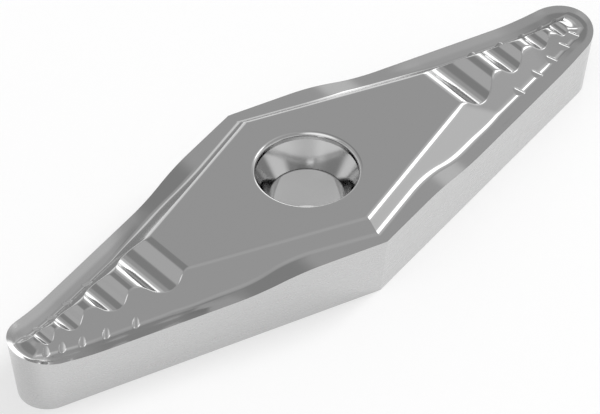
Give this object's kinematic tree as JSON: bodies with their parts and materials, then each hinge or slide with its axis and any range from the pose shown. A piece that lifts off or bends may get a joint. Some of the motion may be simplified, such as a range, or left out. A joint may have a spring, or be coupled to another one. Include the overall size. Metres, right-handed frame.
{
  "type": "carbide insert",
  "caption": "Double-ended rhombic turning insert with a central screw hole, ground relief flanks and a pressed chip former with stepped ridges.",
  "frame": {"origin": "centre of the flat seat face, on the axis of the screw hole", "axes": "+Z out of the seat face towards the chip former, +X along the long diagonal to one nose, +Y along the short diagonal"},
  "size_m": [0.0406, 0.013, 0.0046],
  "materials": {
    "cemented_carbide": "fine ground and polished, uncoated"
  },
  "bodies": {
    "root": {"insert_body": "cemented_carbide"}
  },
  "joints": []
}
